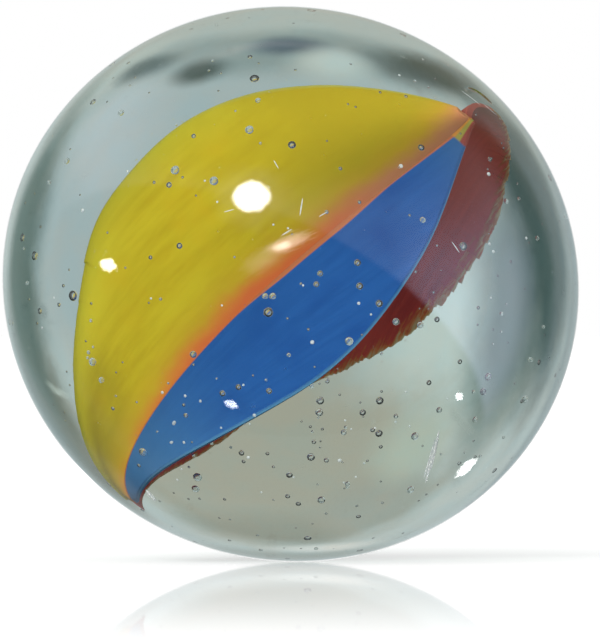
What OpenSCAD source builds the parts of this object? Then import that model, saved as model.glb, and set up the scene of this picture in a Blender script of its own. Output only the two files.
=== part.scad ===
// Cat's-eye marble: a clear glass ball with three coloured glass vanes inside it.
// The vanes grow out of one bowed axis, turn round it from pole to pole and
// narrow towards both poles, where they end bluntly. Millimetres, +Z up, origin at the ball's centre,
// front of the ball towards -Y.

/* [Ball] */
// Width of the ball across its wide way
ball_d = 16.3; // [15.5:0.1:25]
// Width of the ball across its flat way
flat_d = 15.6; // [15:0.1:24]
// Lean of the flat way from upright, towards +X
flat_lean = 16; // [0:1:45]

/* [Pole axis] */
// Lean of the pole axis from upright, towards +X
pole_lean = 41; // [0:1:60]
// Tip of the upper pole towards the front
pole_tip = 8; // [-20:1:20]
// Clear glass left beyond the vanes at each pole
pole_cover = 1.85; // [1:0.05:2.5]
// How far the poles lie to the side of the ball's middle
axis_side = 0.65; // [0:0.05:1.4]
// How far the axis lies in front of the ball's middle
axis_front = 1.6; // [0:0.05:1.7]
// How far the axis bows back across the ball's middle
axis_bow = 1; // [0:0.05:2.2]
// Where the bow is fullest, from 0 at the lower pole to 1 at the upper
bow_at = 0.32; // [0.2:0.01:0.8]

/* [All vanes] */
// Turn of every vane from the lower pole to the upper
vane_twist = 75; // [0:1:140]
// Thickness of a vane at its root, half way between the poles
root_t = 0.56; // [0.3:0.02:0.8]
// Thickness of a vane at its outer edge
edge_t = 0.12; // [0.1:0.02:0.26]
// Reach of each vane at its blunt tip on the lower pole
tip_reach = 0.36; // [0.22:0.02:0.5]

/* [Yellow vane] */
// Reach of the yellow vane from the axis at its widest
yellow_reach = 4; // [2:0.05:4.4]
// Reach of the yellow vane at its blunt end on the upper pole
yellow_top = 0.3; // [0.22:0.02:0.8]
// Direction of the yellow vane half way up the axis
yellow_dir = 187; // [175:1:200]
// Curl of the yellow vane's outer edge out of that direction
yellow_curl = -41; // [-50:1:10]
// Where the yellow vane is widest, from the lower pole to the upper
yellow_peak = 0.48; // [0.35:0.01:0.7]
// Taper of the yellow vane, low for blunt ends and high for thin ones
yellow_taper = 1.75; // [1:0.05:2.2]

/* [Blue vane] */
// Reach of the blue vane from the axis at its widest
blue_reach = 3.7; // [2:0.05:4.4]
// Reach of the blue vane at its blunt end on the upper pole
blue_top = 0.24; // [0.22:0.02:0.8]
// Direction of the blue vane half way up the axis
blue_dir = 315; // [312:1:330]
// Curl of the blue vane's outer edge out of that direction
blue_curl = 0; // [-10:1:10]
// Where the blue vane is widest, from the lower pole to the upper
blue_peak = 0.32; // [0.25:0.01:0.6]
// Taper of the blue vane, low for blunt ends and high for thin ones
blue_taper = 2.25; // [1:0.05:3]

/* [Red vane] */
// Reach of the red vane from the axis at its widest
red_reach = 3.9; // [2:0.05:4.6]
// Reach of the red vane at its blunt end on the upper pole
red_top = 1.6; // [0.4:0.1:2.4]
// Direction of the red vane half way up the axis
red_dir = 64; // [50:1:75]
// Curl of the red vane's outer edge out of that direction
red_curl = -22; // [-30:1:10]
// Where the red vane is widest, from the lower pole to the upper
red_peak = 0.73; // [0.35:0.01:0.8]
// Taper of the red vane, low for blunt ends and high for thin ones
red_taper = 3.25; // [1:0.05:4]

/* [Seeds] */
// How many of the larger air bubbles lie under the skin
seed_count = 22; // [0:1:40]
// Width of the smallest of these bubbles
seed_min_d = 0.14; // [0.1:0.02:0.2]
// Width of the largest of these bubbles
seed_max_d = 0.34; // [0.22:0.02:0.4]
// Which scatter of bubbles the glass has
seed_scatter = 11; // [1:1:99]

/* [Cut-off marks] */
// Radius of the curved crease on the upper pole
crease_r = 0.6; // [0.3:0.05:1]
// Width of the crease
crease_w = 0.14; // [0.08:0.02:0.2]
// Turn of the crease from one end to the other
crease_turn = 130; // [40:5:200]
// Width of the shallow pit near the lower pole
pit_w = 1.7; // [0.8:0.1:2.4]
// Depth of the pit
pit_depth = 0.15; // [0.05:0.01:0.25]
// Lean of the pit from straight down, towards -X
pit_lean = 47; // [20:1:70]

/* [Hidden] */

stations = 30;      // sections along the axis, from pole to pole
side_points = 7;    // points along each side of a vane's section
end_share = 0.004;  // how near to the pole the first and last sections lie

axis_half = ball_d / 2 - pole_cover;
flat_way = [sin(flat_lean), 0, cos(flat_lean)];

// A vane is [reach, direction, curl, peak, taper, top]. They stand in this order round the axis.
red = [red_reach, red_dir, red_curl, red_peak, red_taper, red_top];
yellow = [yellow_reach, yellow_dir, yellow_curl, yellow_peak, yellow_taper, yellow_top];
blue = [blue_reach, blue_dir, blue_curl, blue_peak, blue_taper, blue_top];
around = [red, yellow, blue];

// Shape from pole (0) to pole (1) that rises to 1 at the peak and falls to 0 at both ends.
function leaf(u, peak, taper) =
    pow(u / peak, peak * taper) * pow((1 - u) / (1 - peak), (1 - peak) * taper);

// Stations crowd towards the poles, where the vanes narrow fastest.
function station(i) = end_share + (1 - 2 * end_share) * (1 - cos(180 * i / stations)) / 2;

function axis_point(u) =
    [axis_side - axis_bow * leaf(u, bow_at, 2), -axis_front, axis_half * (2 * u - 1)];

function root_dir(vane, u) = vane[1] + vane_twist * (u - 0.5);
function reach(vane, u) =
    let (least = tip_reach + (vane[5] - tip_reach) * u)
    least + (vane[0] - least) * leaf(u, vane[3], vane[4]);
function half_root(u) = (edge_t + (root_t - edge_t) * leaf(u, 0.5, 1)) / 2;

// Two neighbouring vanes meet on the line half way between their roots.
function gap_turn(k, u) =
    let (turn = root_dir(around[(k + 1) % 3], u) - root_dir(around[k], u))
    turn < 0 ? turn + 360 : turn;
function corner(k, u) =
    let (half_turn = gap_turn(k, u) / 2, dir = root_dir(around[k], u) + half_turn)
    half_root(u) / sin(half_turn) * [cos(dir), sin(dir)];

// A point of a vane's section: r out along its curled middle line, then off to its side.
function off_line(vane, u, r, side) =
    let (share = r / reach(vane, u),
         dir = root_dir(vane, u) + vane[2] * share * share,
         slant = atan(2 * vane[2] * PI / 180 * share * share))
    r * [cos(dir), sin(dir)] + side * [-sin(dir + slant), cos(dir + slant)];

// The points of one side, from beside the root to the start of the round edge.
function side_line(vane, u, start, way) =
    let (stop = reach(vane, u) - edge_t / 2)
    [for (j = [1 : side_points])
        let (share = j / side_points, r = start + (stop - start) * share)
        off_line(vane, u, r, way * (half_root(u) * (1 - share) + edge_t / 2 * share))];

function round_edge(vane, u) =
    [for (a = [-45 : 45 : 45])
        off_line(vane, u, reach(vane, u) - edge_t / 2 * (1 - cos(a)), edge_t / 2 * sin(a))];

function reversed(list) = [for (i = [len(list) - 1 : -1 : 0]) list[i]];

// One vane's outline at a station, without its root: up one side, round the edge, back down.
function blade(k, u) =
    let (vane = around[k],
         before = gap_turn((k + 2) % 3, u) / 2,
         after = gap_turn(k, u) / 2)
    concat(side_line(vane, u, half_root(u) / tan(before), -1),
           round_edge(vane, u),
           reversed(side_line(vane, u, half_root(u) / tan(after), 1)));

function vane_section(k, u) =
    concat([[0, 0], corner((k + 2) % 3, u)], blade(k, u), [corner(k, u)]);

function star_section(u) =
    [for (k = [0 : 2]) each concat([corner((k + 2) % 3, u)], blade(k, u))];

function placed(section, u) =
    [for (p = section) axis_point(u) + [p[0], p[1], 0]];

// Triangles between the rings of a sweep, each ring having n points.
function skin(rings, n) =
    [for (i = [0 : rings - 2], j = [0 : n - 1], half = [0, 1])
        let (a = i * n + j, b = i * n + (j + 1) % n)
        half == 0 ? [a, a + n, b + n] : [a, b + n, b]];

// Triangles that close one blade across its width, between two equal runs of points.
function blade_cap(low, high) =
    let (pairs = floor((high - low) / 2))
    [for (i = [0 : pairs - 1], half = [0, 1])
        let (a = low + i, b = high - i)
        if (half == 0 || b - a > 2) half == 0 ? [a, a + 1, b] : [a + 1, b - 1, b]];

function moved(faces, step) = [for (f = faces) [for (v = f) v + step]];
function turned(faces) = [for (f = faces) [f[0], f[2], f[1]]];

module sweep(points, cap, n) {
    rings = stations + 1;
    polyhedron(points = points,
               faces = concat(cap, skin(rings, n), moved(turned(cap), (rings - 1) * n)));
}

module in_pole_frame() {
    rotate([0, pole_lean, 0]) rotate([pole_tip, 0, 0]) children();
}

module vane(k) {
    n = len(vane_section(k, 0.5));
    cap = concat([[0, 1, n - 1]], blade_cap(1, n - 1));
    points = [for (i = [0 : stations]) each placed(vane_section(k, station(i)), station(i))];
    in_pole_frame() sweep(points, cap, n);
}

// The room that the three vanes take up together, as one solid.
module vane_room() {
    n = len(star_section(0.5));
    third = n / 3;
    cap = concat([[0, third, 2 * third]],
                 blade_cap(0, third),
                 blade_cap(third, 2 * third),
                 [for (f = blade_cap(2 * third, n)) [for (v = f) v % n]]);
    points = [for (i = [0 : stations]) each placed(star_section(station(i)), station(i))];
    in_pole_frame() sweep(points, cap, n);
}

// Distance from the ball's centre to its skin in the direction of the unit vector d.
function skin_r(d) =
    let (s = d * flat_way)
    1 / sqrt(4 / pow(ball_d, 2) + s * s * (4 / pow(flat_d, 2) - 4 / pow(ball_d, 2)));

// Stands its children on the ball's skin, with +Z pointing out of the glass.
module on_skin(d, lift = 0) {
    rotate([0, acos(d[2]), atan2(d[1], d[0])]) translate([0, 0, skin_r(d) + lift]) children();
}

module ball() {
    rotate([0, flat_lean, 0]) scale([ball_d, ball_d, flat_d]) sphere(d = 1, $fn = 96);
}

// Air bubbles between the skin and the level of the vanes' tips.
module seeds() {
    widths = rands(seed_min_d, seed_max_d, seed_count, seed_scatter);
    turns = rands(0, 360, seed_count, seed_scatter + 1);
    heights = rands(-1, 1, seed_count, seed_scatter + 2);
    depths = rands(seed_max_d, max(seed_max_d, pole_cover / 2), seed_count, seed_scatter + 3);
    for (i = [0 : 1 : seed_count - 1]) {
        level = sqrt(1 - pow(heights[i], 2));
        d = [level * cos(turns[i]), level * sin(turns[i]), heights[i]];
        translate((skin_r(d) - depths[i]) * d) sphere(d = widths[i], $fn = 24);
    }
}

// The crease that the shears left on the upper pole.
module crease() {
    in_pole_frame() {
        end = axis_point(1);
        on_skin(end / norm(end)) rotate_extrude(angle = crease_turn, $fn = 64)
            translate([crease_r, 0]) circle(d = crease_w, $fn = 24);
    }
}

// The pit that the shears left near the lower pole: a shallow dish from a larger sphere.
module pit() {
    dish_r = (pow(pit_w / 2, 2) + pow(pit_depth, 2)) / (2 * pit_depth);
    on_skin([-sin(pit_lean), 0, -cos(pit_lean)], dish_r - pit_depth) sphere(r = dish_r, $fn = 96);
}

module clear_glass() {
    color([0.78, 0.86, 0.84, 0.35]) difference() {
        ball();
        vane_room();
        seeds();
        crease();
        pit();
    }
}

module yellow_vane() {
    color([0.78, 0.7, 0.12]) vane(1);
}

module blue_vane() {
    color([0.1, 0.3, 0.62]) vane(2);
}

module red_vane() {
    color([0.5, 0.07, 0.06]) vane(0);
}

clear_glass();
yellow_vane();
blue_vane();
red_vane();
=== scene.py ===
import math
import random

import bpy
from mathutils import Matrix, Vector
from mathutils.bvhtree import BVHTree


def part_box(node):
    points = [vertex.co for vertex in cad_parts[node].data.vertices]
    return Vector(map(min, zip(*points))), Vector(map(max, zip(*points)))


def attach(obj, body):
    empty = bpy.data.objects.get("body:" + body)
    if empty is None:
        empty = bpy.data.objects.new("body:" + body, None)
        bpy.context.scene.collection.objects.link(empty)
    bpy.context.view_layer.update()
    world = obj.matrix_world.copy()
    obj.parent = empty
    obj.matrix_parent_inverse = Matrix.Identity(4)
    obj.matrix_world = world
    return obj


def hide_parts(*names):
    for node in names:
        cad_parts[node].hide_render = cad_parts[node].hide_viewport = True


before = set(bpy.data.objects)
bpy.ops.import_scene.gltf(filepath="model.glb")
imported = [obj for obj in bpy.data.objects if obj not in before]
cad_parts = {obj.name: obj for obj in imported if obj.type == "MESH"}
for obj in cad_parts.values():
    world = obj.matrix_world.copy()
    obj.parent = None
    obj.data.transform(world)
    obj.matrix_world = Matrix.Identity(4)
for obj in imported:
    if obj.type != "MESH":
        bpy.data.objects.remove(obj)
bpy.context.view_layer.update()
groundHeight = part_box("clear_glass")[0].z
mm = 0.001
weldGap = 0.000001
sharpEdge = 35  # degrees
white = (1, 1, 1, 1)


# helpers for objects

def deselectAll():
    if bpy.context.mode != "OBJECT":
        bpy.ops.object.mode_set(mode="OBJECT")
    bpy.ops.object.select_all(action="DESELECT")


def makeActive(piece):
    deselectAll()
    piece.select_set(True)
    bpy.context.view_layer.objects.active = piece


def editAll(piece):
    makeActive(piece)
    bpy.ops.object.mode_set(mode="EDIT")
    bpy.ops.mesh.select_all(action="SELECT")


def leaveEdit():
    bpy.ops.object.mode_set(mode="OBJECT")


def closeMesh(piece):
    editAll(piece)
    bpy.ops.mesh.remove_doubles(threshold=weldGap)
    bpy.ops.mesh.normals_make_consistent(inside=False)
    leaveEdit()


def giveMaterials(piece, materials, used=0):
    piece.data.materials.clear()
    for material in materials:
        piece.data.materials.append(material)
    piece.data.polygons.foreach_set("material_index", [used] * len(piece.data.polygons))


def finishPiece(piece, node):
    makeActive(piece)
    bpy.ops.object.shade_smooth_by_angle(angle=math.radians(sharpEdge))
    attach(piece, "root")
    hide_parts(node)
    print(piece.name, len(piece.data.polygons), "faces")


# helpers for materials

def addNode(tree, kind, values=None, **settings):
    made = tree.nodes.new(kind)
    for name, value in settings.items():
        setattr(made, name, value)
    for name, value in (values or {}).items():
        if isinstance(value, bpy.types.NodeSocket):
            tree.links.new(value, made.inputs[name])
        else:
            made.inputs[name].default_value = value
    return made


def maths(tree, operation, *terms):
    return addNode(tree, "ShaderNodeMath", dict(enumerate(terms)), operation=operation).outputs[0]


def mixColour(tree, share, first, second, blend="MIX"):
    values = {0: share, 6: first, 7: second}
    return addNode(tree, "ShaderNodeMix", values, data_type="RGBA", blend_type=blend).outputs[2]


def rise(tree, value, low, high, lowOut=0.0, highOut=1.0):
    values = {"Value": value, "From Min": low, "From Max": high, "To Min": lowOut, "To Max": highOut}
    return addNode(tree, "ShaderNodeMapRange", values, interpolation_type="SMOOTHSTEP").outputs[0]


def noise(tree, vector, scale, detail=2.0, roughness=0.5):
    values = {"Vector": vector, "Scale": scale, "Detail": detail, "Roughness": roughness}
    return addNode(tree, "ShaderNodeTexNoise", values).outputs["Fac"]


def stretched(tree, vector, scale, location=(0, 0, 0)):
    values = {"Vector": vector, "Location": location, "Scale": scale}
    return addNode(tree, "ShaderNodeMapping", values).outputs[0]


def lengthOf(tree, vector):
    return addNode(tree, "ShaderNodeVectorMath", {0: vector}, operation="LENGTH").outputs["Value"]


def dot(tree, first, second):
    values = {0: first, 1: second}
    return addNode(tree, "ShaderNodeVectorMath", values, operation="DOT_PRODUCT").outputs["Value"]


def mixShader(tree, share, first, second):
    values = {0: share, 1: first.outputs[0], 2: second.outputs[0]}
    return addNode(tree, "ShaderNodeMixShader", values)


def setSurface(tree, output, surface):
    tree.links.new(surface.outputs[0], output.inputs["Surface"])


def lightThrough(tree, glass, tint=white):
    # the sun reaches what is inside the glass
    through = addNode(tree, "ShaderNodeBsdfTransparent", {"Color": tint})
    shadow = addNode(tree, "ShaderNodeLightPath").outputs["Is Shadow Ray"]
    return mixShader(tree, shadow, glass, through)


def objectPlace(tree):
    return addNode(tree, "ShaderNodeTexCoord").outputs["Object"]


def linear(value):
    value /= 255
    return value / 12.92 if value <= 0.04045 else ((value + 0.055) / 1.055) ** 2.4


def colour(red, green, blue, gain=1.0):
    return (*(min(1.0, linear(v) * gain) for v in (red, green, blue)), 1.0)


def newMaterial(name):
    material = bpy.data.materials.new(name)
    material.use_nodes = True
    tree = material.node_tree
    tree.nodes.clear()
    return material, tree, tree.nodes.new("ShaderNodeOutputMaterial")


# the ball and its pole axis, in millimetres and degrees

ballShape = {
    "fineness": 7,
    "wide": 16.3,
    "flat": 15.6,
    "flatLean": 16,
    "poleLean": 41,
    "poleTip": 8,
    "poleCover": 1.85,
    "pitWidth": 1.7,
    "pitDepth": 0.15,
    "pitLean": 47,
    "creaseRadius": 0.6,
    "creaseWidth": 0.14,
    "creaseDepth": 0.025,
    "creaseTurn": 130,
    "creaseFade": 20,
    "creaseFiner": (1.1, 0.95, 0.85),  # within these distances the faces are cut once more
}

axisShape = {
    "side": 0.65,
    "front": 1.6,
    "bow": 1,
    "bowAt": 0.32,
    "twist": 75,
    "root": 0.56,
    "edge": 0.12,
    "tipReach": 0.36,
}

poleFrame = (Matrix.Rotation(math.radians(ballShape["poleLean"]), 3, "Y")
             @ Matrix.Rotation(math.radians(ballShape["poleTip"]), 3, "X"))
axisHalf = ballShape["wide"] / 2 - ballShape["poleCover"]
flatWay = Matrix.Rotation(math.radians(ballShape["flatLean"]), 3, "Y") @ Vector((0, 0, 1))


def leaf(u, peak, taper):
    low = (u / peak) ** (peak * taper)
    return low * ((1 - u) / (1 - peak)) ** ((1 - peak) * taper)


def axisPoint(u):
    shape = axisShape
    return Vector((shape["side"] - shape["bow"] * leaf(u, shape["bowAt"], 2),
                   -shape["front"], axisHalf * (2 * u - 1)))


def skinRadius(way):
    wide, flat = ballShape["wide"] / 2, ballShape["flat"] / 2
    share = way.dot(flatWay)
    return 1 / math.sqrt(1 / wide ** 2 + share ** 2 * (1 / flat ** 2 - 1 / wide ** 2))


# the vanes: each is a sheet that is extruded to a slab, then bent along the pole axis; the lumps
# of its rim are [share along the axis, width as a share, height in millimetres], and the teeth are
# the steps from one thread to the next, in millimetres

vaneShapes = {
    "redVane": {
        "node": "red_vane", "slot": "red_glass", "reach": 3.9, "top": 1.6, "direction": 64,
        "curl": -22, "peak": 0.73, "taper": 3.25, "ragged": 0.15, "comb": 0.12,
        "teeth": (0.5, 0.19, 0.09), "seed": 5,
        "lumps": [(0.22, 0.09, 0.15), (0.38, 0.08, -0.22), (0.6, 0.1, 0.09), (0.83, 0.1, -0.2)],
    },
    "yellowVane": {
        "node": "yellow_vane", "slot": "yellow_glass", "reach": 4, "top": 0.3, "direction": 187,
        "curl": -41, "peak": 0.48, "taper": 1.75, "ragged": 0.012, "comb": 0.1,
        "teeth": (1.7, 0.8, 0.3), "seed": 6, "lumps": [(0.37, 0.08, 0.16)],
    },
    "blueVane": {
        "node": "blue_vane", "slot": "blue_glass", "reach": 3.7, "top": 0.24, "direction": 315,
        "curl": 0, "peak": 0.32, "taper": 2.25, "ragged": 0.015, "comb": 0,
        "teeth": (2.3, 0.9, 0.4), "seed": 7, "lumps": [(0.3, 0.13, -0.22), (0.75, 0.09, 0.07)],
    },
}
vaneOrder = list(vaneShapes)
vaneMesh = {"along": 560, "across": 40, "endShare": 0.004}
threads = {
    "rowShift": 0.37,
    "rowWeight": 1.5,
    "draws": 101,
    "drawPower": 1.5,
    "tipFade": 1.5,
    "cutPower": 3,
    "combPower": 10,
    "combBelow": 0.6,
}


def rootDirection(name, u):
    return vaneShapes[name]["direction"] + axisShape["twist"] * (u - 0.5)


def halfRoot(u):
    return (axisShape["edge"] + (axisShape["root"] - axisShape["edge"]) * leaf(u, 0.5, 1)) / 2


def gapTurn(name, following, u):
    return (rootDirection(following, u) - rootDirection(name, u)) % 360


def toothEdge(shape, u, draws):
    # threads of glass end one after another, each with its tip towards the lower pole
    cut = 0
    length = 2 * axisHalf
    for row, pitch in enumerate(shape["teeth"]):
        place = (1 - u) * length / pitch + threads["rowShift"] * row
        tooth = int(place)
        deep = (1 - (place - tooth)) * draws[row][tooth % len(draws[row])]
        cut += deep / (row + threads["rowWeight"])
    return cut


def vanePoint(name, u, v, side, draws):
    shape = vaneShapes[name]
    place = vaneOrder.index(name)
    full = leaf(u, shape["peak"], shape["taper"])
    cut = toothEdge(shape, u, draws) * min(1, full * threads["tipFade"])
    combed = shape["comb"] * full * max(0, threads["combBelow"] - cut) * v ** threads["combPower"]
    bent = max(0.001, u - combed / (2 * axisHalf))
    least = axisShape["tipReach"] + (shape["top"] - axisShape["tipReach"]) * u
    reach = least + (shape["reach"] - least) * full
    reach -= shape["ragged"] * cut * v ** threads["cutPower"]
    reach += sum(high * math.exp(-((u - at) / wide) ** 2) for at, wide, high in shape["lumps"])
    edge = axisShape["edge"]
    if side == 0:
        radius, aside = reach * v, 0
    else:
        before, after = vaneOrder[place - 1], vaneOrder[(place + 1) % len(vaneOrder)]
        turn = gapTurn(before, name, u) if side < 0 else gapTurn(name, after, u)
        start = halfRoot(u) / math.tan(math.radians(turn / 2))
        radius = start + (reach - edge / 2 - start) * v
        aside = side * (halfRoot(u) * (1 - v) + edge / 2 * v)
    share = radius / reach
    curl = math.radians(shape["curl"]) * share ** 2
    direction = math.radians(rootDirection(name, bent)) + curl
    slant = direction + math.atan(2 * curl)
    point = axisPoint(bent)
    point.x += radius * math.cos(direction) - aside * math.sin(slant)
    point.y += radius * math.sin(direction) + aside * math.cos(slant)
    return poleFrame @ point * mm, (u * 2 * axisHalf, radius, share)


def makeVane(name):
    shape = vaneShapes[name]
    deselectAll()
    bpy.ops.mesh.primitive_grid_add(x_subdivisions=vaneMesh["along"],
                                    y_subdivisions=vaneMesh["across"], size=2, location=(0, 0, -1))
    vane = bpy.context.active_object
    vane.name = name
    editAll(vane)
    for layer in range(2):
        bpy.ops.mesh.extrude_region_move(TRANSFORM_OT_translate={"value": (0, 0, 1)})
    leaveEdit()
    bpy.ops.object.transform_apply(location=True, rotation=True, scale=True)

    chance = random.Random(shape["seed"])
    draws = [[chance.random() ** threads["drawPower"] for tooth in range(threads["draws"])]
             for row in shape["teeth"]]
    endShare = vaneMesh["endShare"]
    flow = vane.data.attributes.new("flow", "FLOAT_VECTOR", "POINT")
    for vertex in vane.data.vertices:
        x, y, side = vertex.co
        u = endShare + (1 - 2 * endShare) * (1 - math.cos(math.pi * (x + 1) / 2)) / 2
        vertex.co, flow.data[vertex.index].vector = vanePoint(name, u, (y + 1) / 2, round(side), draws)
    closeMesh(vane)
    return vane


# coloured glass: streaks follow the flow attribute, which holds the place along the axis
# and the distance from it in millimetres, and the share of the reach

def flowOf(tree):
    flow = addNode(tree, "ShaderNodeAttribute", attribute_name="flow").outputs["Vector"]
    parts = addNode(tree, "ShaderNodeSeparateXYZ", {0: flow})
    return flow, parts.outputs["X"], parts.outputs["Y"], parts.outputs["Z"]


vaneFinish = {
    "roughness": 0.5,
    "ior": 1.5,
    "relief": 0.12,
    "reliefDepth": 0.0001,
    "spread": 0.2,
    "spreadColours": (1.0, 0.6, 0.4),
    "spreadDepth": 0.0003,
}


def finishVaneMaterial(tree, output, base, bump):
    finish = vaneFinish
    relief = addNode(tree, "ShaderNodeBump", {
        "Height": bump, "Strength": finish["relief"], "Distance": finish["reliefDepth"]})
    surface = addNode(tree, "ShaderNodeBsdfPrincipled", {
        "Base Color": base, "Roughness": finish["roughness"], "IOR": finish["ior"],
        "Specular IOR Level": 0.0, "Subsurface Weight": finish["spread"],
        "Subsurface Radius": finish["spreadColours"], "Subsurface Scale": finish["spreadDepth"],
        "Normal": relief.outputs[0]})
    setSurface(tree, output, surface)


def streaksOf(tree, flow, look):
    streaks = noise(tree, stretched(tree, flow, look["streakStretch"]), *look["streakNoise"])
    return streaks, mixColour(tree, rise(tree, streaks, 0.3, 0.75), *look["streaks"])


def cloudsOf(tree, flow, look, base):
    clouds = noise(tree, stretched(tree, flow, (1, 1, 0)), *look["cloudNoise"])
    return clouds, mixColour(tree, rise(tree, clouds, *look["cloudRise"]), base, look["cloud"])


def rimmed(tree, share, look, base):
    return mixColour(tree, rise(tree, share, *look["edgeFrom"]), base, look["edge"])


# in the three looks, a name that ends in At says where along the axis a colour starts and ends,
# in millimetres, one that ends in From says it in shares of the reach, and one that ends in Width
# says it in millimetres from the axis

yellowLook = {
    "streakStretch": (0.35, 2.2, 0),
    "streakNoise": (1.4, 4, 0.6),
    "cloudNoise": (0.55, 3, 0.6),
    "cloudRise": (0.45, 0.75),
    "streaks": (colour(206, 179, 38), colour(189, 160, 28)),
    "cloud": colour(204, 168, 30),
    # painted light: the band along the rim is lighter, where the vane curls away from the sun
    "outer": colour(210, 192, 52),
    "outerFrom": (0.72, 1.05),
    # painted shade: low darkens the lower end of the vane, and high darkens its top against the sun's
    # light on it
    "low": colour(150, 130, 34),
    "lowAt": (2.0, 4.6, 0.75, 0),
    "high": colour(180, 155, 33),
    "highShadeAt": (7.5, 11.0),
    "edge": colour(184, 180, 100),
    "edgeFrom": (0.955, 1.0, 0, 0.75),
    # painted light: the left part near the lower end is lighter, where the vane turns away from the
    # sun
    "left": colour(226, 202, 52, 1.2),
    "leftFrom": (0.5, 0.85),
    "leftAt": (3.4, 5.8, 1, 0),
    "seamNarrowAt": (0.5, 5.5, 0.42, 0),
    "nearSeam": colour(204, 156, 42),
    "nearSeamWidth": (0.6, 1.4, 0.8, 0),
    "seam": colour(212, 104, 56, 1.1),
    "highSeam": colour(198, 140, 100),
    "highSeamAt": (7.5, 10, 0, 0.7),
    "seamWidth": (0.4, 0.95, 1, 0),
}


def makeYellowGlass():
    look = yellowLook
    material, tree, output = newMaterial("yellowGlass")
    flow, along, radius, share = flowOf(tree)
    streaks, base = streaksOf(tree, flow, look)
    clouds, base = cloudsOf(tree, flow, look, base)
    wander = noise(tree, flow, 1.1, 3)
    # painted light on the band along the rim, where the vane curls away from the sun
    outerPaintedLightShare = maths(tree, "ADD", share, maths(tree, "MULTIPLY_ADD", clouds, 0.3, -0.15))
    base = mixColour(tree, rise(tree, outerPaintedLightShare, *look["outerFrom"]), base, look["outer"])
    # painted shade along the axis, darker towards the lower end and towards the top
    paintedShadeAlong = maths(tree, "MULTIPLY_ADD", wander, 2.0, along)
    base = mixColour(tree, rise(tree, paintedShadeAlong, *look["lowAt"]), base, look["low"])
    base = mixColour(tree, rise(tree, paintedShadeAlong, *look["highShadeAt"]), base, look["high"])
    base = rimmed(tree, share, look, base)
    # painted light on the left part near the lower end, where the surface turns away from the sun
    left = maths(tree, "MULTIPLY", rise(tree, share, *look["leftFrom"]),
                 rise(tree, along, *look["leftAt"]))
    base = mixColour(tree, left, base, look["left"])
    seam = maths(tree, "ADD", maths(tree, "MULTIPLY_ADD", wander, 0.5, radius),
                 rise(tree, along, *look["seamNarrowAt"]))
    base = mixColour(tree, rise(tree, seam, *look["nearSeamWidth"]), base, look["nearSeam"])
    orange = mixColour(tree, rise(tree, along, *look["highSeamAt"]), look["seam"], look["highSeam"])
    base = mixColour(tree, rise(tree, seam, *look["seamWidth"]), base, orange)
    finishVaneMaterial(tree, output, base, streaks)
    return material


blueLook = {
    "streakStretch": (0.3, 2.4, 0),
    "streakNoise": (1.6, 4, 0.6),
    "cloudNoise": (0.6, 2, 0.5),
    "cloudRise": (0.45, 0.8),
    "streaks": (colour(30, 80, 146), colour(36, 88, 156)),
    "cloud": colour(22, 70, 138),
    "ends": colour(62, 108, 146),
    "endsFromMiddle": (3.4, 6.2, 0, 0.6),
    "low": colour(66, 114, 162),
    "lowAt": (1.0, 4.8, 0.8, 0),
    "edge": colour(80, 130, 168),
    "edgeFrom": (0.975, 0.998),
    "seam": colour(182, 106, 70),
    "seamStartAt": (5.2, 6.8),
    "seamStopAt": (8.0, 9.8, 0.1, 0),
    "seamWidth": (0.13, 0.17, 1, 0),
    "tip": (colour(206, 134, 54), colour(160, 146, 66), colour(150, 70, 60)),
    "tipFrom": ((0.3, 0.4), (0.6, 0.7)),
    "tipAt": (2 * axisHalf - 0.72, 2 * axisHalf - 0.62),
}


def makeBlueGlass():
    look = blueLook
    material, tree, output = newMaterial("blueGlass")
    flow, along, radius, share = flowOf(tree)
    streaks, base = streaksOf(tree, flow, look)
    clouds, base = cloudsOf(tree, flow, look, base)
    fromMiddle = maths(tree, "ABSOLUTE", maths(tree, "SUBTRACT", along, axisHalf))
    base = mixColour(tree, rise(tree, fromMiddle, *look["endsFromMiddle"]), base, look["ends"])
    base = mixColour(tree, rise(tree, along, *look["lowAt"]), base, look["low"])
    base = rimmed(tree, share, look, base)
    middle = maths(tree, "MULTIPLY", rise(tree, along, *look["seamStartAt"]),
                   rise(tree, along, *look["seamStopAt"]))
    seam = rise(tree, maths(tree, "SUBTRACT", radius, middle), *look["seamWidth"])
    base = mixColour(tree, seam, base, look["seam"])
    ochre, outerPaintedLightShare, brown = look["tip"]
    tip = mixColour(tree, rise(tree, share, *look["tipFrom"][0]), ochre, outerPaintedLightShare)
    tip = mixColour(tree, rise(tree, share, *look["tipFrom"][1]), tip, brown)
    end = maths(tree, "MULTIPLY_ADD", clouds, 0.5, along)
    base = mixColour(tree, rise(tree, end, *look["tipAt"]), base, tip)
    finishVaneMaterial(tree, output, base, streaks)
    return material


redLook = {
    "streakStretch": (0.5, 5.0, 0),
    "streakNoise": (1.6, 5, 0.65),
    "threadStretch": (1.2, 9.0, 0),
    "threadNoise": (1.8, 3, 0.6),
    "streaks": (colour(166, 50, 44, 1.6), colour(142, 34, 34, 1.6)),
    "low": colour(176, 66, 54, 2.0),
    "lowAt": (5.8, 7.5, 0.7, 0),
    "warm": colour(180, 72, 56, 1.55),
    "warmAt": (axisHalf + 1, 2 * axisHalf - 2.5, 0, 0.6),
    "brown": colour(130, 62, 44),
    "brownAt": (2 * axisHalf - 2.0, 2 * axisHalf - 0.3, 0, 0.7),
    "fringe": (colour(180, 88, 36), colour(206, 116, 58, 1.2)),
    "fringeAt": (axisHalf, 2 * axisHalf - 2.5, 1, 0),
    "fringeFrom": (0.94, 0.99),
    "paleEdge": colour(196, 170, 128, 1.15),
    "paleEdgeFrom": (0.97, 1.02),
}


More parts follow.
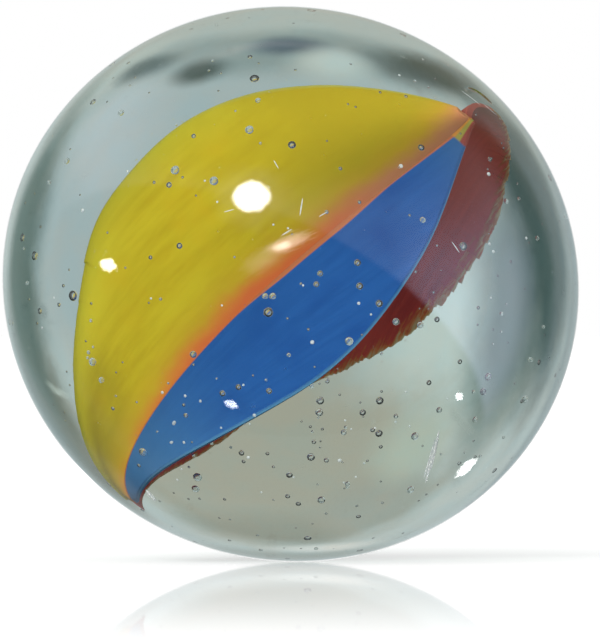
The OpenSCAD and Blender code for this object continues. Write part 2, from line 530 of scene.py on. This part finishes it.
def makeRedGlass():
    look = redLook
    material, tree, output = newMaterial("redGlass")
    flow, along, radius, share = flowOf(tree)
    streaks, base = streaksOf(tree, flow, look)
    fine = noise(tree, stretched(tree, flow, look["threadStretch"]), *look["threadNoise"])
    for name in ("low", "warm", "brown"):
        base = mixColour(tree, rise(tree, along, *look[name + "At"]), base, look[name])
    edge = maths(tree, "ADD", share, maths(tree, "MULTIPLY_ADD", fine, 0.2, -0.1))
    fringe = mixColour(tree, rise(tree, along, *look["fringeAt"]), *look["fringe"])
    base = mixColour(tree, rise(tree, edge, *look["fringeFrom"]), base, fringe)
    base = mixColour(tree, rise(tree, edge, *look["paleEdgeFrom"]), base, look["paleEdge"])
    finishVaneMaterial(tree, output, base, streaks)
    return material


# the clear glass

glassFinish = {
    "ior": 1.5,
    "absorbColour": (0.781, 0.848, 0.819, 1),
    "absorbDensity": 100,
    "tint": (0.965, 0.985, 0.975, 1),
    "shadowTint": (0.92, 0.94, 0.93, 1),
    "waveNoise": (260, 1, 0.4),
    "speckNoise": (5200, 2, 0.5),
    "speckHeight": 0.04,
    "relief": 0.1,
    "reliefDepth": 0.00005,
    "roughness": (0.03, 0.3),
}


def makeClearGlass():
    finish = glassFinish
    material, tree, output = newMaterial("clearGlass")
    place = objectPlace(tree)
    waves = noise(tree, place, *finish["waveNoise"])
    specks = noise(tree, place, *finish["speckNoise"])
    relief = maths(tree, "MULTIPLY_ADD", rise(tree, specks, 0.68, 0.8), finish["speckHeight"], waves)
    bump = addNode(tree, "ShaderNodeBump", {
        "Height": relief, "Strength": finish["relief"], "Distance": finish["reliefDepth"]})
    glass = addNode(tree, "ShaderNodeBsdfPrincipled", {
        "Base Color": finish["tint"], "Roughness": rise(tree, specks, 0.66, 0.8, *finish["roughness"]),
        "IOR": finish["ior"], "Transmission Weight": 1.0, "Normal": bump.outputs[0]})
    setSurface(tree, output, lightThrough(tree, glass, finish["shadowTint"]))
    depth = addNode(tree, "ShaderNodeVolumeAbsorption", {
        "Color": finish["absorbColour"], "Density": finish["absorbDensity"]})
    tree.links.new(depth.outputs[0], output.inputs["Volume"])
    return material


markFinish = {
    "grainNoise": (14000, 3, 0.6),
    "dull": (0.7, 0.75, 0.76, 1),
    "roughness": 0.3,
    "ior": 1.04,
    "specular": 0.2,
    "clear": 0.5,
}


def makeScratchesAndGlintDots():
    # scratches and rubbed marks, and small pale dots that are painted glints of bubbles, all almost as
    # dense as the glass round them
    finish = markFinish
    material, tree, output = newMaterial("scratchesAndGlintDots")
    grain = noise(tree, objectPlace(tree), *finish["grainNoise"])
    mark = addNode(tree, "ShaderNodeBsdfPrincipled", {
        "Base Color": mixColour(tree, rise(tree, grain, 0.35, 0.65), finish["dull"], white),
        "Roughness": finish["roughness"], "IOR": finish["ior"],
        "Specular IOR Level": finish["specular"], "Transmission Weight": finish["clear"]})
    setSurface(tree, output, lightThrough(tree, mark))
    return material


bubbleFinish = {
    "filmNoise": (9000, 2, 0.5),
    "dull": (0.75, 0.82, 0.82, 1),
    "roughness": (0.03, 0.12),
    "clear": 0.92,
}


def makeBubbleGlass():
    # the walls of the bubbles are not quite clear, so they show as pale specks over the vanes
    finish = bubbleFinish
    material, tree, output = newMaterial("bubbleGlass")
    film = noise(tree, objectPlace(tree), *finish["filmNoise"])
    wall = addNode(tree, "ShaderNodeBsdfPrincipled", {
        "Base Color": mixColour(tree, film, finish["dull"], white),
        "Roughness": rise(tree, film, 0.3, 0.7, *finish["roughness"]), "IOR": glassFinish["ior"],
        "Transmission Weight": finish["clear"]})
    setSurface(tree, output, lightThrough(tree, wall))
    return material


# the chosen bubbles are [x, z, depth below the front skin, width], the drawn-out marks along the
# skin have a length and a lean as well, and the rest are strewn by chance

bubbleShape = {
    "fineness": 2,
    "count": 400,
    "inFront": 0.35,
    "crowdWay": (0.3, -1.5, -1.7),
    "crowdShare": 0.2,
    "farthestBack": 3.5,
    "leastOut": 0.35,
    # some small strewn bubbles in front become pale dots, painted glints of bubbles
    "glintDotShare": 0.25,
    "glintDotWidest": 0.12,
    "glintDotInFrontOf": -2,
    "smallest": 0.06,
    "largest": 0.24,
    "sizePower": 4,
    "skinGap": 0.12,
    "vaneGap": 0.06,
    "seed": 23,
    "chosen": [(-1.06, 5.97, 0.5, 0.27), (-6.2, -0.35, 0.4, 0.3), (-0.64, -0.85, 0.6, 0.27),
               (2.57, -3.38, 0.5, 0.23), (2.6, -4.4, 0.7, 0.22), (3.8, 3.94, 0.5, 0.2),
               (0.04, 3.96, 0.4, 0.23), (-1.5, -3.0, 0.5, 0.17)],
    "drawn": [(3.97, -4.85, 0.02, 0.1, 1.9, 14), (3.89, -4.9, 0.02, 0.06, 1.5, 15),
              (4.04, -4.75, 0.02, 0.05, 1.2, 12), (0.3, 2.11, 0.1, 0.04, 0.52, 9),
              (-4.02, -6.1, 0.02, 0.16, 0.5, -40), (-3.31, -3.97, 0.2, 0.1, 0.17, 30),
              (-3.4, -4.54, 0.2, 0.08, 0.14, 60), (-3.04, -4.54, 0.2, 0.08, 0.1, 0),
              (-3.0, -3.21, 0.3, 0.08, 0.09, 0), (-2.61, -3.41, 0.5, 0.07, 0.09, 0),
              (5.2, 5.35, 0.1, 0.03, 0.7, -52), (5.75, 5.0, 0.1, 0.025, 0.5, -48),
              (-0.4, 3.3, 0.08, 0.03, 0.3, -30), (0.9, 1.9, 0.08, 0.03, 0.26, 60),
              (-1.7, 2.0, 0.08, 0.03, 0.3, 75), (-0.1, 1.4, 0.08, 0.03, 0.34, 58),
              (4.6, 1.0, 0.1, 0.03, 0.4, -35)],
}


def bubblePlaces(vanes):
    trees = [BVHTree.FromPolygons([v.co for v in vane.data.vertices],
                                  [p.vertices for p in vane.data.polygons]) for vane in vanes]
    shape = bubbleShape
    bubbles, marks = [], []
    for x, z, depth, width, *drawn in shape["chosen"] + shape["drawn"]:
        y = -math.sqrt((ballShape["wide"] / 2) ** 2 - x * x - z * z)
        way = Vector((x, y, z)).normalized()
        long, lean = drawn or (width, 0)
        run = Vector((math.sin(math.radians(lean)), 0, math.cos(math.radians(lean))))
        run.y = -(x * run.x + z * run.z) / y
        (marks if drawn else bubbles).append((way * (skinRadius(way) - depth), width, long, run))
    chance = random.Random(shape["seed"])
    while len(bubbles) + len(marks) < shape["count"]:
        way = Vector([chance.gauss(0, 1) for axis in range(3)])
        if chance.random() < shape["crowdShare"]:
            way += Vector(shape["crowdWay"])
        way.normalize()
        if chance.random() < shape["inFront"]:
            way.y = -abs(way.y)
        size = chance.random() ** shape["sizePower"]
        width = shape["smallest"] + (shape["largest"] - shape["smallest"]) * size
        reach = skinRadius(way) - shape["skinGap"] - width / 2
        place = way * reach * chance.uniform(shape["leastOut"], 1) ** 0.5
        if place.y > shape["farthestBack"]:
            continue
        room = min(tree.find_nearest(place * mm)[3] for tree in trees) / mm
        if room > width / 2 + shape["vaneGap"]:
            # small pale dots in front are painted glints of bubbles
            mayBeGlintDot = place.y < shape["glintDotInFrontOf"] and width < shape["glintDotWidest"]
            glintDot = mayBeGlintDot and chance.random() < shape["glintDotShare"]
            (marks if glintDot else bubbles).append((place, width, width, way))
    return bubbles, marks


def pressPitAndCrease(ball):
    shape = ballShape
    lean = math.radians(shape["pitLean"])
    pitWay = Vector((-math.sin(lean), 0, -math.cos(lean)))
    pitMiddle = pitWay * skinRadius(pitWay)
    poleWay = (poleFrame @ axisPoint(1)).normalized()
    pole = poleWay * skinRadius(poleWay)
    onPole = poleWay.to_track_quat("Z", "Y").to_matrix().transposed()

    # finer faces round the crease
    for near in shape["creaseFiner"]:
        deselectAll()
        for vertex in ball.data.vertices:
            vertex.select = (vertex.co / mm - pole).length < near
        for parts in (ball.data.edges, ball.data.polygons):
            parts.foreach_set("select", [False] * len(parts))
        makeActive(ball)
        bpy.ops.object.mode_set(mode="EDIT")
        bpy.ops.mesh.subdivide(number_cuts=1)
        leaveEdit()

    for vertex in ball.data.vertices:
        out = vertex.co.normalized()
        point = out * skinRadius(out)
        vertex.co = point * mm
        dish = (point - pitMiddle).length / (shape["pitWidth"] / 2)
        if dish < 1:
            vertex.co -= pitWay * shape["pitDepth"] * mm * (1 - dish ** 2) ** 1.5
        fold = point - pole
        if fold.length < 2 * shape["creaseRadius"]:
            flat = onPole @ fold
            turn = math.degrees(math.atan2(flat.y, flat.x)) % 360
            ends = max(0, min(1, turn / shape["creaseFade"],
                              (shape["creaseTurn"] - turn) / shape["creaseFade"]))
            ring = (math.hypot(flat.x, flat.y) - shape["creaseRadius"]) / (shape["creaseWidth"] / 2)
            vertex.co -= out * shape["creaseDepth"] * mm * ends * math.exp(-ring ** 2)


def makeBubbles(places):
    deselectAll()
    bpy.ops.mesh.primitive_ico_sphere_add(subdivisions=bubbleShape["fineness"], radius=mm / 2,
                                          location=(0, 0, 0))
    first = bpy.context.active_object
    bubbles = []
    for place, width, long, run in places:
        bubble = bpy.data.objects.new("bubble", first.data.copy())
        bpy.context.scene.collection.objects.link(bubble)
        bubble.data.transform(Matrix.LocRotScale(place * mm, run.to_track_quat("Z", "Y"),
                                                 Vector((width, width, long))))
        bubbles.append(bubble)
    bpy.data.objects.remove(first)
    deselectAll()
    for bubble in bubbles:
        bubble.select_set(True)
    bpy.context.view_layer.objects.active = bubbles[0]
    bpy.ops.object.join()
    return bubbles[0]


def makeGlassBall(vanes, materials):
    deselectAll()
    bpy.ops.mesh.primitive_ico_sphere_add(subdivisions=ballShape["fineness"], radius=0.5,
                                          location=(0, 0, 0))
    ball = bpy.context.active_object
    ball.name = "glassBall"
    wide, flat = ballShape["wide"] * mm, ballShape["flat"] * mm
    editAll(ball)
    bpy.ops.transform.resize(value=(wide, wide, flat))
    leaveEdit()
    ball.rotation_euler.y = math.radians(ballShape["flatLean"])
    bpy.ops.object.transform_apply(location=True, rotation=True, scale=True)
    pressPitAndCrease(ball)
    closeMesh(ball)
    bubbles, marks = (makeBubbles(places) for places in bubblePlaces(vanes))
    editAll(bubbles)
    bpy.ops.mesh.flip_normals()
    leaveEdit()
    deselectAll()
    for used, piece in enumerate((ball, bubbles, marks)):
        giveMaterials(piece, materials, used)
        piece.select_set(True)
    bpy.context.view_layer.objects.active = ball
    bpy.ops.object.join()
    return ball


# the studio

studio = {
    "lens": 600,
    "aim": (0.262, -1.045),
    "frameHeight": 18.085,
    "sensor": 36,
    "sunWay": (-0.239, -0.766, 0.597),
    "sunAngle": 32,
    "sunStrength": 3.5,
    "fill": 0.6,
    "skyWay": (0.42, 0.43, 0.80),
    "window": (2.0, 2.2, 3.0, 1),
    "sky": (0.8, 0.8, 0.85, 1),
    "dim": (0.2, 0.2, 0.2, 1),
    "mirrorEnds": (30, 98),
    "mirrorShare": 0.56,
    "mirrorRoughness": 0.015,
    "floorSize": 8,
    "floor": (0.96, 0.96, 0.96, 1),
    "floorInGlass": (0.44, 0.44, 0.42, 1),
    "clipStart": 0.01,
    "clipEnd": 5,
}


def makeCamera():
    lens = bpy.data.cameras.new("camera")
    camera = bpy.data.objects.new("camera", lens)
    bpy.context.scene.collection.objects.link(camera)
    lens.lens = studio["lens"]
    lens.sensor_width = studio["sensor"]
    lens.clip_start = studio["clipStart"]
    lens.clip_end = studio["clipEnd"]
    distance = studio["frameHeight"] * mm * studio["lens"] / studio["sensor"]
    camera.location = (studio["aim"][0] * mm, -distance, studio["aim"][1] * mm)
    camera.rotation_euler = (math.pi / 2, 0, 0)
    bpy.context.scene.camera = camera


def makeSun():
    lamp = bpy.data.lights.new("sun", "SUN")
    lamp.energy = studio["sunStrength"]
    lamp.angle = math.radians(studio["sunAngle"])
    sun = bpy.data.objects.new("sun", lamp)
    bpy.context.scene.collection.objects.link(sun)
    sun.rotation_euler = Vector(studio["sunWay"]).to_track_quat("Z", "Y").to_euler()
    sun.visible_camera = False
    sun.visible_transmission = False
    sun.visible_glossy = False


def makeFloor():
    deselectAll()
    bpy.ops.mesh.primitive_plane_add(size=studio["floorSize"], location=(0, 0, groundHeight))
    floor = bpy.context.active_object
    floor.name = "floor"
    floor.visible_transmission = False
    floor.visible_glossy = False
    material, tree, output = newMaterial("paleFloor")
    apart = lengthOf(tree, objectPlace(tree))
    seen = addNode(tree, "ShaderNodeLightPath").outputs["Is Camera Ray"]
    base = mixColour(tree, seen, studio["floorInGlass"], studio["floor"])
    matt = addNode(tree, "ShaderNodeBsdfDiffuse", {"Color": base})
    shine = addNode(tree, "ShaderNodeBsdfGlossy", {
        "Color": white, "Roughness": studio["mirrorRoughness"]})
    near, far = (reach * mm for reach in studio["mirrorEnds"])
    share = rise(tree, apart, near, far, studio["mirrorShare"], 0)
    setSurface(tree, output, mixShader(tree, share, matt, shine))
    floor.data.materials.append(material)


# what the glass shows of the room
roomShades = {
    "low": (0.52, 0.58, 0.57, 1),
    "high": (0.70, 0.75, 0.75, 1),
    "warm": (1.03, 0.995, 0.975, 1),
    "cool": (0.97, 1.005, 1.02, 1),
    "wander": (5, 6, 0.62),
    "tintNoise": (7, 4, 0.6),
}

# in degrees from straight behind the ball and from level, each patch of it is
# [turn, height, half its width, half its height, softness, colour]
roomPatches = [
    (10, -10, 60, 34, 0.5, (0.50, 0.57, 0.60)),
    (-26, 12, 20, 18, 0.5, (0.70, 0.78, 0.77)),
    (7, 32, 38, 25, 0.4, (0.50, 0.48, 0.41)),
    (57, 30, 14, 26, 0.6, (0.25, 0.245, 0.195)),
    (0, -44, 50, 9, 0.6, (0.33, 0.39, 0.39)),
    (38, -43, 11, 4.5, 0.7, (0.09, 0.14, 0.145)),
    (19, -38, 7, 4, 0.7, (0.08, 0.11, 0.10)),
    (0, -45, 10, 4, 0.7, (0.08, 0.12, 0.16)),
    (-36, -41, 20, 7.5, 0.7, (0.02, 0.04, 0.025)),
    (-9, -39, 9, 5.5, 0.8, (0.66, 0.72, 0.70)),
    (63, 0, 15, 48, 0.5, (0.14, 0.195, 0.18)),
    (-38, 6, 11, 30, 0.7, (0.18, 0.235, 0.22)),
    (-55, -8, 16, 36, 0.6, (0.04, 0.08, 0.08)),
    (-50, -22, 14, 14, 0.6, (0.04, 0.07, 0.07)),
    (-80, 5, 14, 90, 0.5, (0.23, 0.262, 0.267)),
    (34, -26, 14, 12, 0.8, (0.59, 0.64, 0.68)),
    (0, 84, 200, 12, 0.5, (0.34, 0.37, 0.345)),
    (0, 70, 200, 8, 0.6, (0.50, 0.52, 0.49)),
    (4, 50, 30, 8, 0.8, (0.40, 0.39, 0.33)),
    (-20, 41, 16, 11, 0.5, (0.46, 0.46, 0.41)),
    (-21, 27, 8, 8, 0.8, (0.58, 0.62, 0.54)),
    (-14, 60, 22, 3, 0.8, (1.0, 0.95, 0.92)),
]


def roomColours(tree, way):
    parts = addNode(tree, "ShaderNodeSeparateXYZ", {0: way}).outputs
    turn = maths(tree, "MULTIPLY", maths(tree, "ARCTAN2", parts["X"], parts["Y"]), 180 / math.pi)
    turn = maths(tree, "WRAP", turn, 90, -90)
    height = maths(tree, "MULTIPLY", maths(tree, "ARCSINE", parts["Z"]), 180 / math.pi)
    wander = noise(tree, way, *roomShades["wander"])
    place = addNode(tree, "ShaderNodeCombineXYZ", {0: turn, 1: height}).outputs[0]
    behind = rise(tree, parts["Y"], -0.3, 0.3, 0.5, 1)
    room = mixColour(tree, rise(tree, height, -75, 75), roomShades["low"], roomShades["high"])
    for turnAt, heightAt, wide, high, soft, shade in roomPatches:
        scale = (1 / wide, 1 / high, 0)
        offset = stretched(tree, place, scale, (-turnAt / wide, -heightAt / high, 0))
        off = maths(tree, "MULTIPLY_ADD", maths(tree, "SUBTRACT", wander, 0.5), 0.5,
                    lengthOf(tree, offset))
        cover = maths(tree, "MULTIPLY", rise(tree, off, 1 - soft, 1 + soft / 2, 1, 0), behind)
        room = mixColour(tree, cover, room, (*shade, 1))
    tint = noise(tree, way, *roomShades["tintNoise"])
    tint = mixColour(tree, rise(tree, tint, 0.35, 0.65), roomShades["warm"], roomShades["cool"])
    return mixColour(tree, 1.0, room, tint, "MULTIPLY")


# small lamps that show only as glints: each is [way, width, height, tilt, softness, grain, wobble,
# colour], the sizes in degrees; those of the skin mirror in the ball's front, and those inside in
# its back
glintLamps = {
    "skin": [
        (studio["sunWay"], 10, 9, 0, 0.9, 1, 1.2, (1.5, 1.6, 1.7)),
        (studio["sunWay"], 6.3, 6.0, 20, 0.3, 1, 0.5, (52, 52, 50)),
        ((-0.974, -0.208, 0.086), 4.0, 2.0, 0, 0.25, 1, 1.6, (26, 26, 24)),
        ((-0.02, -0.955, 0.29), 8, 2.6, 26, 0.6, 6, 3.0, (9, 7.6, 6.8)),
        ((-0.054, -0.961, 0.271), 3.2, 1.3, 26, 0.7, 3, 2.4, (22, 20, 18)),
        ((-0.195, -0.968, 0.158), 6, 3, 30, 1.0, 4, 2.0, (3.2, 2.6, 2.3)),
        ((-0.37, -0.51, -0.777), 2.2, 1.7, -30, 0.3, 1, 1.8, (20, 21, 24)),
        ((0.817, -0.022, -0.576), 2.0, 1.05, 0, 0.3, 1, 1.8, (26, 27, 27)),
        ((0.546, 0.57, -0.614), 3.5, 2.2, 32, 0.3, 1, 1.8, (14, 14, 14)),
    ],
    "inside": [
        ((0.294, -0.954, 0.06), 1.6, 0.3, 50, 0.8, 3, 1.6, (5, 5, 5)),
    ],
}


def withGlints(tree, way, colours, place):
    for towards, wide, high, tilt, soft, grain, wobble, shade in glintLamps[place]:
        towards = Vector(towards).normalized()
        turn = Matrix.Rotation(math.radians(tilt), 3, towards)
        side = turn @ towards.cross(Vector((0, 0, 1))).normalized()
        upright = side.cross(towards)
        offsets = [dot(tree, way, axis / math.sin(math.radians(size)))
                   for axis, size in ((side, wide), (upright, high))]
        offset = addNode(tree, "ShaderNodeCombineXYZ", dict(enumerate(offsets))).outputs[0]
        ripple = noise(tree, stretched(tree, offset, (1, grain, 0)), 0.9, 3, 0.6)
        off = maths(tree, "MULTIPLY_ADD", maths(tree, "SUBTRACT", ripple, 0.5), wobble,
                    lengthOf(tree, offset))
        facing = maths(tree, "GREATER_THAN", dot(tree, way, towards), 0)
        cover = maths(tree, "MULTIPLY", rise(tree, off, 1 - soft, 1 + soft, 1, 0), facing)
        colours = mixColour(tree, cover, colours, (*shade, 1))
    return colours


def makeWorld():
    world = bpy.data.worlds.new("studio")
    bpy.context.scene.world = world
    world.use_nodes = True
    world.cycles.sampling_method = "NONE"
    tree = world.node_tree
    tree.nodes.clear()
    output = tree.nodes.new("ShaderNodeOutputWorld")
    way = addNode(tree, "ShaderNodeTexCoord").outputs["Generated"]
    path = addNode(tree, "ShaderNodeLightPath").outputs
    room = roomColours(tree, way)
    parts = addNode(tree, "ShaderNodeSeparateXYZ", {0: way}).outputs
    towardsSky = dot(tree, way, Vector(studio["skyWay"]).normalized())
    ahead, right, up = parts["Y"], parts["X"], parts["Z"]
    openSky = maths(tree, "MULTIPLY", rise(tree, towardsSky, -0.02, 0.04),
                    rise(tree, ahead, 0.1, 0.5, 1, 0))
    low = maths(tree, "MULTIPLY", rise(tree, up, 0.05, 0.55, 1, 0), rise(tree, right, 0.6, 0.88))
    sky = mixColour(tree, rise(tree, up, 0.45, 0.8), studio["sky"], studio["dim"])
    sky = mixColour(tree, low, sky, studio["window"])
    dim = mixColour(tree, rise(tree, ahead, 0.1, 0.5), studio["dim"], room)
    dim = mixColour(tree, rise(tree, up, -0.45, -0.15, 0.6, 0), dim, studio["dim"])
    mirrored = mixColour(tree, openSky, dim, sky)
    mirrored = mixColour(tree, rise(tree, ahead, 0.975, 0.99), mirrored, white)
    mirrored = withGlints(tree, way, mirrored, "skin")
    room = withGlints(tree, way, room, "inside")
    walls = mixColour(tree, path["Is Transmission Ray"], mirrored, room)
    light, inGlass, backdrop = (
        addNode(tree, "ShaderNodeBackground", {"Color": shade, "Strength": strength})
        for shade, strength in ((white, studio["fill"]), (walls, 1.0), (white, 1.0)))
    shiny = maths(tree, "MAXIMUM", path["Is Glossy Ray"], path["Is Transmission Ray"])
    seen = mixShader(tree, shiny, light, inGlass)
    setSurface(tree, output, mixShader(tree, path["Is Camera Ray"], seen, backdrop))


bounces = {"max_bounces": 20, "transmission_bounces": 16, "transparent_max_bounces": 16}


def setRender():
    bpy.context.scene.view_settings.view_transform = "Standard"
    for name, count in bounces.items():
        setattr(bpy.context.scene.cycles, name, count)


makeCamera()
makeWorld()
makeFloor()
makeSun()
setRender()
print("studio ready")

glassMakers = {"redVane": makeRedGlass, "yellowVane": makeYellowGlass, "blueVane": makeBlueGlass}
vanes = []
for name, shape in vaneShapes.items():
    vane = makeVane(name)
    giveMaterials(vane, [glassMakers[name]()])
    finishPiece(vane, shape["node"])
    vanes.append(vane)
print("vanes ready")

ball = makeGlassBall(vanes, [makeClearGlass(), makeBubbleGlass(), makeScratchesAndGlintDots()])
finishPiece(ball, "clear_glass")
print("ball ready")
